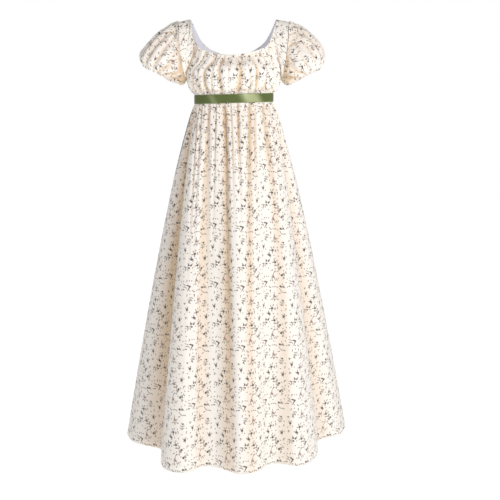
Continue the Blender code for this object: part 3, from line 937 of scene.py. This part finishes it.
def ring_line(side, degrees, at):
    """Places on the rings below the underarm, in front or behind."""
    rows = [(r.half_wide, getattr(r, side), r.up, r.tilt_share) for r in BODICE_RINGS]
    wide, deep, up, tilt = smooth([r.along for r in BODICE_RINGS], rows, at).T[:, :, None]
    angle = np.radians(degrees)[None, :]
    up = up + tilt * WAIST_TILT * np.sin(angle)
    return np.stack([wide * np.sin(angle), -deep * np.cos(angle), up], axis=-1)


def armhole_edge(sign, at, depth=1.0):
    """Places on one armhole's front edge, or on its back edge where depth is below zero."""
    line = edge_line(ARMHOLE, at)
    line[:, 0] *= -sign
    line[:, 1] *= depth
    return line


def top_line(neck, first_sign, at):
    """The bodice's top edge: a strap's width of shoulder seam at each end, and the neck between."""
    line = edge_line(neck, at)
    for end, sign in ((0.0, first_sign), (1.0, -first_sign)):
        outer = armhole_edge(sign, np.array([1.0]))[0]
        out = np.clip(1 - np.abs(at - end) / STRAP, 0, 1)[:, None]
        line += out * (outer - edge_line(neck, [end])[0])
    return line


def bodice_surface(neck, side, first_sign, columns, low_count, high_count):
    """Rows from the waist up to the top edge, and how far along the row each column lies."""
    front = side == "front_deep"
    across = np.linspace(SEAM / 0.4, 1 - SEAM / 0.4, columns + 1)
    swing = smooth([0, 0.18, 0.5, 0.82, 1], [-90, -72, 0, 72, 90], across)[:, 0]
    degrees = swing if front else 180 + swing
    lower = ring_line(side, degrees, np.linspace(0, UNDERARM, low_count))
    lower[0, :, 2] += SEAM / 2
    before, after = ring_line(side, degrees, [r.along for r in BODICE_RINGS[-2:]])
    leaving = (after - before) / (UNDERARM - BODICE_RINGS[-2].along) * (1 - UNDERARM)
    high = np.linspace(UNDERARM, 1, high_count)[1:]
    top = top_line(neck, first_sign, across)
    strap = np.clip(1 - (np.minimum(across, 1 - across) / STRAP - 1) / 1.2, 0, 1)[:, None]
    over = np.array([0, SHOULDER_RUN if front else -SHOULDER_RUN, 0])
    arriving = strap * over + (1 - strap) * (top - after)
    share = ((high - UNDERARM) / (1 - UNDERARM))[:, None, None]
    upper = run(after, leaving, top, arriving, share)
    depth = 1.0 if front else -BACK_DEPTH
    leans = []
    for edge, sign, reach in ((0, first_sign, across), (-1, -first_sign, 1 - across)):
        s = np.clip(reach[:, None] / np.array(LEAN_REACH), 0, 1)
        pull = armhole_edge(sign, high, depth) - upper[:, edge]
        leans.append((1 - s) ** 2 * (1 + 2 * s) * pull[:, None, :])
    upper += leans[0] + leans[1]
    points = np.concatenate([lower, upper])
    points[-1, np.minimum(across, 1 - across) <= STRAP, 1] = -SEAM if front else SEAM
    return points, across


print("shoulder seam at", armhole_edge(1, np.array([1.0]))[0])

# %% [markdown]
# The front is gathered twice, onto the ribbon below and into the neck's edge above. Longer creases
# join the two, and none of them hangs quite straight. The table gives, as shares of the piece's width,
# where a crease lies at the waist and at the neck and its half width, and its depth in millimetres.

# %% The bodice's creases
Crease = namedtuple("Crease", "low high half depth")
FRONT_CREASES = [
    Crease(0.115, 0.150, 0.012, 9),
    Crease(0.175, 0.200, 0.006, 4),
    Crease(0.225, 0.255, 0.010, 7),
    Crease(0.290, 0.305, 0.006, 4),
    Crease(0.345, 0.350, 0.012, 9),
    Crease(0.385, 0.385, 0.006, 4),
    Crease(0.425, 0.428, 0.012, 10),
    Crease(0.478, 0.480, 0.006, 3),
    Crease(0.535, 0.532, 0.020, 11),
    Crease(0.585, 0.590, 0.007, 5),
    Crease(0.628, 0.636, 0.013, 10),
    Crease(0.680, 0.692, 0.008, 5),
    Crease(0.735, 0.765, 0.010, 6),
    Crease(0.800, 0.840, 0.009, 6),
    Crease(0.865, 0.900, 0.009, 6),
]
BACK_CREASES = [
    Crease(0.22, 0.20, 0.012, 3),
    Crease(0.38, 0.36, 0.010, 4),
    Crease(0.50, 0.51, 0.010, 3),
    Crease(0.63, 0.65, 0.010, 4),
    Crease(0.79, 0.81, 0.012, 3),
]


def crease_bodice(points, across, table, width, seed, neck_depth):
    """The surface with its creases and gathers pressed in, and how deep each place lies."""
    up = lengths(points, 0)
    tall = up[-1]
    share = up / tall
    relief = np.zeros(points.shape[:2])
    for number, c in enumerate(table):
        middle = c.low + (c.high - c.low) * share + 0.006 * np.sin(5.5 * share + number * 2.1)
        body = np.sin(math.pi * np.clip(share * 0.92 + 0.06, 0, 1)) ** 0.7
        relief += c.depth * MM * body * np.exp(-np.abs((across - middle) / c.half) ** 1.8)
    seam = across * width
    from_waist = np.clip(up - HELD * 0.8, 0, None)
    from_neck = tall - up
    inner = np.clip((np.minimum(across, 1 - across) - STRAP) / 0.06, 0, 1)
    relief += gathers(seam, from_waist, 0.0095, 4.0 * MM, 0.060, seed)
    relief += gathers(seam, from_waist, 0.0190, 5.0 * MM, 0.130, seed + 1)
    relief += gathers(seam, from_neck, 0.0085, neck_depth, 0.045, seed + 2, close=0.6) * inner
    relief += gathers(seam, from_neck, 0.0180, neck_depth * 1.5, 0.090, seed + 3, close=0.3) * inner
    sides = np.clip(np.minimum(across, 1 - across) / 0.03, 0, 1)
    relief *= sides
    return points - outward(points) * relief[..., None], relief


print(len(FRONT_CREASES), "creases in front and", len(BACK_CREASES), "behind")

# %% Make the bodice
BODICE_WIDTH = 0.40
BODICE_FULL = 0.012
front_plain, front_across = bodice_surface(FRONT_NECK, "front_deep", -1, 240, 44, 52)
back_plain, back_across = bodice_surface(BACK_NECK, "back_deep", 1, 180, 30, 40)
front_points, front_relief = crease_bodice(
    front_plain, front_across, FRONT_CREASES, BODICE_WIDTH, 51, 3.0 * MM
)
back_points, back_relief = crease_bodice(
    back_plain, back_across, BACK_CREASES, BODICE_WIDTH, 71, 0.9 * MM
)
for name, points, relief, shift in (
    ("bodice-front", front_points, front_relief, (0.02, 1.30)),
    ("bodice-back", back_points, back_relief, (0.85, 1.30)),
):
    crease_shade = shade_in_creases(points, relief, BODICE_FULL)
    piece = lay(name, points, cotton, crease_shade, shift=shift, stitch_up=NECK_STITCH)
    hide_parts(name.replace("-", "_"))

# %% [markdown]
# ## The sleeves
#
# Each sleeve is a short tube, much wider than the arm, gathered into the armhole at the top and
# onto elastic at the cuff, so that it puffs out between the two. Rings from the armhole to the cuff
# give its form. The last rings turn up inside the puff, as an elastic edge does.

# %% The sleeves' rings
SleeveRing = namedtuple("SleeveRing", "top_across top_up low_across low_up half_deep")
LEFT_RINGS = [
    SleeveRing(-0.199, -0.009, -0.160, -0.199, 0.066),
    SleeveRing(-0.221, -0.022, -0.166, -0.205, 0.076),
    SleeveRing(-0.258, -0.053, -0.175, -0.206, 0.084),
    SleeveRing(-0.287, -0.085, -0.188, -0.200, 0.086),
    SleeveRing(-0.304, -0.114, -0.205, -0.195, 0.082),
    SleeveRing(-0.296, -0.140, -0.214, -0.191, 0.073),
    SleeveRing(-0.285, -0.152, -0.216, -0.186, 0.060),
    SleeveRing(-0.276, -0.146, -0.213, -0.175, 0.048),
]
RIGHT_RINGS = [
    SleeveRing(0.199, -0.010, 0.162, -0.198, 0.066),
    SleeveRing(0.222, -0.021, 0.168, -0.204, 0.076),
    SleeveRing(0.258, -0.052, 0.178, -0.207, 0.085),
    SleeveRing(0.284, -0.083, 0.190, -0.201, 0.087),
    SleeveRing(0.296, -0.120, 0.205, -0.195, 0.083),
    SleeveRing(0.289, -0.143, 0.213, -0.191, 0.074),
    SleeveRing(0.278, -0.157, 0.215, -0.186, 0.060),
    SleeveRing(0.268, -0.150, 0.210, -0.175, 0.048),
]


def armhole(sign, columns):
    """Once round the armhole: from the underarm up the back, and down the front."""
    rising = np.linspace(UNDERARM, 1, columns // 2 + 1)
    back = armhole_edge(sign, rising, -BACK_DEPTH)
    front = armhole_edge(sign, rising[::-1])
    line = np.concatenate([back, front[1:]])
    line[:, 0] += sign * SEAM * 2
    return line


print("left sleeve of", len(LEFT_RINGS), "rings, right sleeve of", len(RIGHT_RINGS))

# %% [markdown]
# Soft folds run down the puff. The tables give where each lies round the arm, in turns from the
# top towards the front, at the armhole and at the cuff, its half width in turns, its depth in
# millimetres, and where between armhole and cuff it is deepest and how far it reaches.

# %% The sleeves' folds
SleeveFold = namedtuple("SleeveFold", "start end half depth middle reach")
LEFT_FOLDS = [
    SleeveFold(-0.04, 0.06, 0.020, 8, 0.45, 0.60),
    SleeveFold(0.03, 0.13, 0.018, 9, 0.50, 0.60),
    SleeveFold(0.10, 0.20, 0.020, 11, 0.50, 0.60),
    SleeveFold(0.17, 0.26, 0.018, 9, 0.55, 0.60),
    SleeveFold(0.25, 0.32, 0.018, 10, 0.55, 0.60),
    SleeveFold(0.33, 0.38, 0.018, 10, 0.50, 0.60),
    SleeveFold(0.41, 0.43, 0.022, 12, 0.40, 0.60),
    SleeveFold(0.60, 0.57, 0.022, 8, 0.45, 0.45),
    SleeveFold(0.70, 0.66, 0.022, 8, 0.45, 0.45),
    SleeveFold(0.80, 0.77, 0.022, 8, 0.45, 0.45),
    SleeveFold(0.89, 0.87, 0.020, 8, 0.40, 0.45),
]
RIGHT_FOLDS = [
    SleeveFold(-0.02, 0.10, 0.018, 6, 0.45, 0.60),
    SleeveFold(0.04, 0.17, 0.022, 10, 0.45, 0.60),
    SleeveFold(0.13, 0.23, 0.018, 7, 0.50, 0.60),
    SleeveFold(0.21, 0.29, 0.018, 8, 0.55, 0.60),
    SleeveFold(0.30, 0.36, 0.020, 9, 0.55, 0.60),
    SleeveFold(0.39, 0.42, 0.026, 12, 0.40, 0.60),
    SleeveFold(0.61, 0.57, 0.022, 8, 0.45, 0.45),
    SleeveFold(0.72, 0.68, 0.022, 8, 0.45, 0.45),
    SleeveFold(0.82, 0.79, 0.022, 8, 0.45, 0.45),
    SleeveFold(0.91, 0.89, 0.020, 7, 0.40, 0.45),
]
print(len(LEFT_FOLDS), "folds in the left sleeve and", len(RIGHT_FOLDS), "in the right")

# %% [markdown]
# The cloth is pushed in by the depth of the folds, less PUFF, so that the ridges between them stand
# out a little. Beside the armhole seam painted shade is added, as if the cloth lay deep there, most
# of all low down, where the sleeve rests against the bodice.


# %% The sleeves' surface
PUFF = 4 * MM
SLEEVE_ROUND = 0.50
SLEEVE_FULL = 0.018


def sleeve_surface(sign, rings, folds, columns, rows, seed):
    """Rows from the cuff up to the armhole, and how deep each place lies, with painted shade added by the
    armhole seam.
    """
    turn = np.linspace(math.pi, 3 * math.pi, columns + 1)
    loops = [armhole(sign, columns)]
    for r in rings:
        top = np.array([r.top_across, 0, r.top_up])
        low = np.array([r.low_across, 0, r.low_up])
        loop = (top + low) / 2 + np.cos(turn)[:, None] * (top - low) / 2
        loop[:, 1] -= np.sin(turn) * r.half_deep
        loops.append(loop)
    loops = np.array(loops)
    steps = np.linalg.norm(np.diff(loops, axis=0), axis=2).mean(axis=1)
    stops = np.concatenate([[0], np.cumsum(steps)])
    places = np.linspace(0, stops[-1], rows + 1)
    points = smooth(stops, loops.reshape(len(loops), -1), places).reshape(rows + 1, columns + 1, 3)

    share = (places / stops[-1])[:, None]
    around = turn / math.tau - 1
    relief = np.zeros(points.shape[:2])
    for f in folds:
        middle = f.start + (f.end - f.start) * share + 0.008 * np.sin(6 * share + f.start * 20)
        apart = (around - middle + 0.5) % 1 - 0.5
        body = np.exp(-(((share - f.middle) / (f.reach * 0.6)) ** 2))
        relief += f.depth * MM * body * np.exp(-np.abs(apart / f.half) ** 1.8)
    seam = around * SLEEVE_ROUND
    down = lengths(points, 0)
    top_only = 0.35 + 0.65 * np.clip(np.cos(turn) * 1.4 + 0.4, 0, 1)
    relief += gathers(seam, down, 0.0110, 4.4 * MM, 0.075, seed) * top_only
    relief += gathers(seam, down, 0.0220, 6.0 * MM, 0.140, seed + 1) * top_only
    relief += gathers(seam, down[-1] - down, 0.0090, 2.6 * MM, 0.050, seed + 2, close=0.6)
    relief += gathers(seam, down[-1] - down, 0.0210, 6.0 * MM, 0.110, seed + 3, close=0.6)
    ends = np.minimum(1, (columns / 2 - np.abs(np.arange(columns + 1) - columns / 2)) / 4)
    points -= outward(points, closed=True) * sign * ((relief - PUFF) * ends)[..., None]
    shade = relief * ends
    # painted shade beside the armhole seam: added for the colour only, not to the shape
    for reach, lowness, deep in ((0.012, 0.8, 0.022), (0.050, -0.1, 0.016)):
        shade += np.exp(-((down / reach) ** 2)) * np.clip(lowness - np.cos(turn), 0, 1) * deep
    step = -sign
    return points[::-1, ::step], shade[::-1, ::step]


for name, sign, rings, folds, seed in (
    ("sleeve-left", -1, LEFT_RINGS, LEFT_FOLDS, 91),
    ("sleeve-right", 1, RIGHT_RINGS, RIGHT_FOLDS, 97),
):
    points, relief = sleeve_surface(sign, rings, folds, 200, 90, seed)
    crease_shade = shade_in_creases(points, relief, SLEEVE_FULL, closed=True)
    place = (sign * 0.5, 1.36)
    piece = lay(name, points, cotton, crease_shade, closed=True, shift=place, stitch_up=CUFF_STITCH)
    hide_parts(name.replace("-", "_"))

# %% [markdown]
# ## The lining
#
# The back of the bodice is lined with plain pale cotton, so that no print shows inside the neck. It
# is the back's own surface, drawn in a little, with its top edge just under the neck's edge. The
# cloth there is thin enough for light to come through from behind, which the lining's own faint
# bluish glow stands for.


# %% Plain lining
LINING_PALE = (0.50, 0.50, 0.55)
LINING_SLUB = (0.45, 0.45, 0.50)
LINING_GLOW = (0.82, 0.82, 0.94, 1)


def make_lining():
    glow = {"Emission_Color": LINING_GLOW, "Emission_Strength": 0.32}
    material, start, shader = new_finish("plain lining", Roughness=0.8, **glow)
    threads, slubs = weave(flat_cut(start))
    feed(shader, "Base Color", mix((slubs - 0.5).size() * 0.8, LINING_PALE, LINING_SLUB))
    feed_bump(shader, start, threads * 0.5 + slubs * 0.5, *THREAD_BUMP)
    return material


LINING_DRAWN_IN = 0.0030
LINING_THICK = 0.0005
lining_points = (back_points - outward(back_plain) * LINING_DRAWN_IN)[:-1, 3:-3]
back_lining = lay("back-lining", lining_points, make_lining(), wall=LINING_THICK)
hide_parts("back_lining")

# %% [markdown]
# ## The ribbon
#
# A satin ribbon covers the seam between bodice and skirt. Satin shines because its threads float
# over each other along the ribbon, and its two edges are woven tight, as a thin plain line. The
# light that it throws back lies in soft slanting bands round the ribbon. Those are painted on, one
# for each row of the table: where it lies along the ribbon from the middle of the front, its half
# width, how much of that is full, all in metres, and how strong it is.


# %% Green satin
Band = namedtuple("Band", "middle half full strength")
BANDS = [
    Band(0.068, 0.045, 0.012, 0.85),
    Band(-0.062, 0.020, 0.000, 0.35),
    Band(-0.250, 0.060, 0.000, 0.60),
    Band(0.290, 0.050, 0.000, 0.50),
]
BAND_SLANT = 0.6
SATIN_DEEP = (0.066, 0.092, 0.024)
SATIN_GREEN = (0.112, 0.146, 0.044)
SATIN_BRIGHT = (0.390, 0.425, 0.235)
SATIN_EDGE = (0.150, 0.195, 0.070)
SATIN_SHINE = (0.85, 1.0, 0.62, 1)


def make_satin():
    shine = {"Specular_IOR_Level": 0.6, "Specular_Tint": SATIN_SHINE}
    material, start, shader = new_finish("green satin", **shine)
    place = flat_cut(start)
    around, up = parts(place)
    fibres = streaks(place, 60.0, 3200.0)
    colour = mix(fibres, SATIN_DEEP, SATIN_GREEN)
    slanted = around + up * BAND_SLANT
    bands = [(slanted - b.middle).size().step(b.half, b.full) * b.strength for b in BANDS]
    bright = bands[0]
    for band in bands[1:]:
        bright = bright.at_least(band)
    colour = mix(bright, colour, SATIN_BRIGHT)
    edge = (up - RIBBON_TALL / 2).size().step(RIBBON_TALL / 2 - 0.0022, RIBBON_TALL / 2 - 0.0016)
    colour = mix(edge * 0.6, colour, SATIN_EDGE)
    feed(shader, "Base Color", colour)
    feed(shader, "Roughness", edge.step(0.0, 1.0, 0.30, 0.60))
    feed_bump(shader, start, fibres, 0.35, 0.00015)
    return material


# %% Make the ribbon
def ribbon_surface(columns, rows):
    """Once round the waist from the middle of the back, gently uneven, as a worn ribbon is."""
    degrees = np.linspace(180, 540, columns + 1)
    angle = np.radians(degrees)
    away = np.stack([np.sin(angle) * WAIST_DEEP, -np.cos(angle) * WAIST_WIDE, 0 * angle], axis=-1)
    away = unit(away)
    outer = waist_point(degrees) + away * RIBBON_OUT
    share = np.linspace(-0.5, 0.5, rows + 1)[:, None]
    points = outer[None] + share[..., None] * np.array([0, 0, RIBBON_TALL])
    slant = angle + share * 0.12
    wave = np.sin(7 * slant + 0.6) + 0.5 * np.sin(17 * slant + 1) + 0.4 * np.sin(29 * slant + 2.2)
    cupped = (2 * share) ** 2 * 0.5
    return points - away[None] * ((wave + 1.6 + cupped) * 0.40 * MM)[..., None]


ribbon_points = ribbon_surface(280, 10)
RIBBON_THICK = 0.0005
ribbon = lay("satin-ribbon", ribbon_points, make_satin(), wall=RIBBON_THICK, closed=True)
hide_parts("ribbon")

# %% [markdown]
# ## How each piece was cut
#
# A sheet of cloth keeps its area however it hangs. The flat map of each piece is read back below.

for piece in [o for o in bpy.data.objects if o.type == "MESH" and "cut" in o.data.uv_layers]:
    spots = np.zeros(len(piece.data.loops) * 2)
    piece.data.uv_layers["cut"].data.foreach_get("uv", spots)

# %% [markdown]
# ## The room
#
# A shop shows such a gown on white, lit softly, with the main light a little to the right. The
# floor is a plain sheet below the hem. It glows a little, so that it looks as white as the world
# around it and no edge shows where the two meet.

# %% Floor and lights
FLOOR_DROP = 0.05
FLOOR_HALF = 9
bm = bmesh.new()
bmesh.ops.create_grid(bm, x_segments=1, y_segments=1, size=FLOOR_HALF)
bmesh.ops.translate(bm, verts=bm.verts, vec=(0, 0, HEM_UP - FLOOR_DROP))
floor_mesh = bpy.data.meshes.new("floor")
bm.to_mesh(floor_mesh)
bm.free()
floor = bpy.data.objects.new("floor", floor_mesh)
bpy.context.scene.collection.objects.link(floor)
glow = {"Emission_Color": (1, 1, 1, 1), "Emission_Strength": 0.80}
pale, _, _ = new_finish("pale floor", Roughness=1.0, Base_Color=(0.60, 0.60, 0.60, 1), **glow)
floor_mesh.materials.append(pale)


def light(name, place, aim, width, watts, colour):
    """A round lamp that faces its aim."""
    data = bpy.data.lights.new(name, "AREA")
    data.shape = "DISK"
    data.size = width
    data.energy = watts
    data.color = colour
    lamp = bpy.data.objects.new(name, data)
    lamp.location = place
    away = np.array(place) - np.array(aim)
    flat = math.hypot(away[0], away[1])
    lamp.rotation_euler = (math.atan2(flat, away[2]), 0, math.atan2(away[0], -away[1]))
    bpy.context.scene.collection.objects.link(lamp)


SKIRT_MIDDLE = (0, 0, -0.7)
light("key light", (1.95, -3.1, 0.75), SKIRT_MIDDLE, 1.3, 72, (1.0, 0.99, 0.98))
light("fill light", (-2.6, -2.6, 0.2), SKIRT_MIDDLE, 2.2, 6, (0.98, 0.95, 0.96))

# %% [markdown]
# Light that has bounced between folds and walls comes back a little warm, so the room's own light
# is warm too. The camera still sees the room as white.

# %% The room's light
ROOM_LIGHT = (0.395, 0.378, 0.370)
world = bpy.data.worlds.new("white room")
world.use_nodes = True
sky = Value(world.node_tree, None)
seen = sky.node("ShaderNodeLightPath", None, None, "Is Camera Ray")
back = world.node_tree.nodes["Background"]
feed(back, "Color", mix(seen, ROOM_LIGHT, (1.0, 1.0, 1.0)))
bpy.context.scene.world = world
bpy.context.scene.view_settings.view_transform = "Standard"
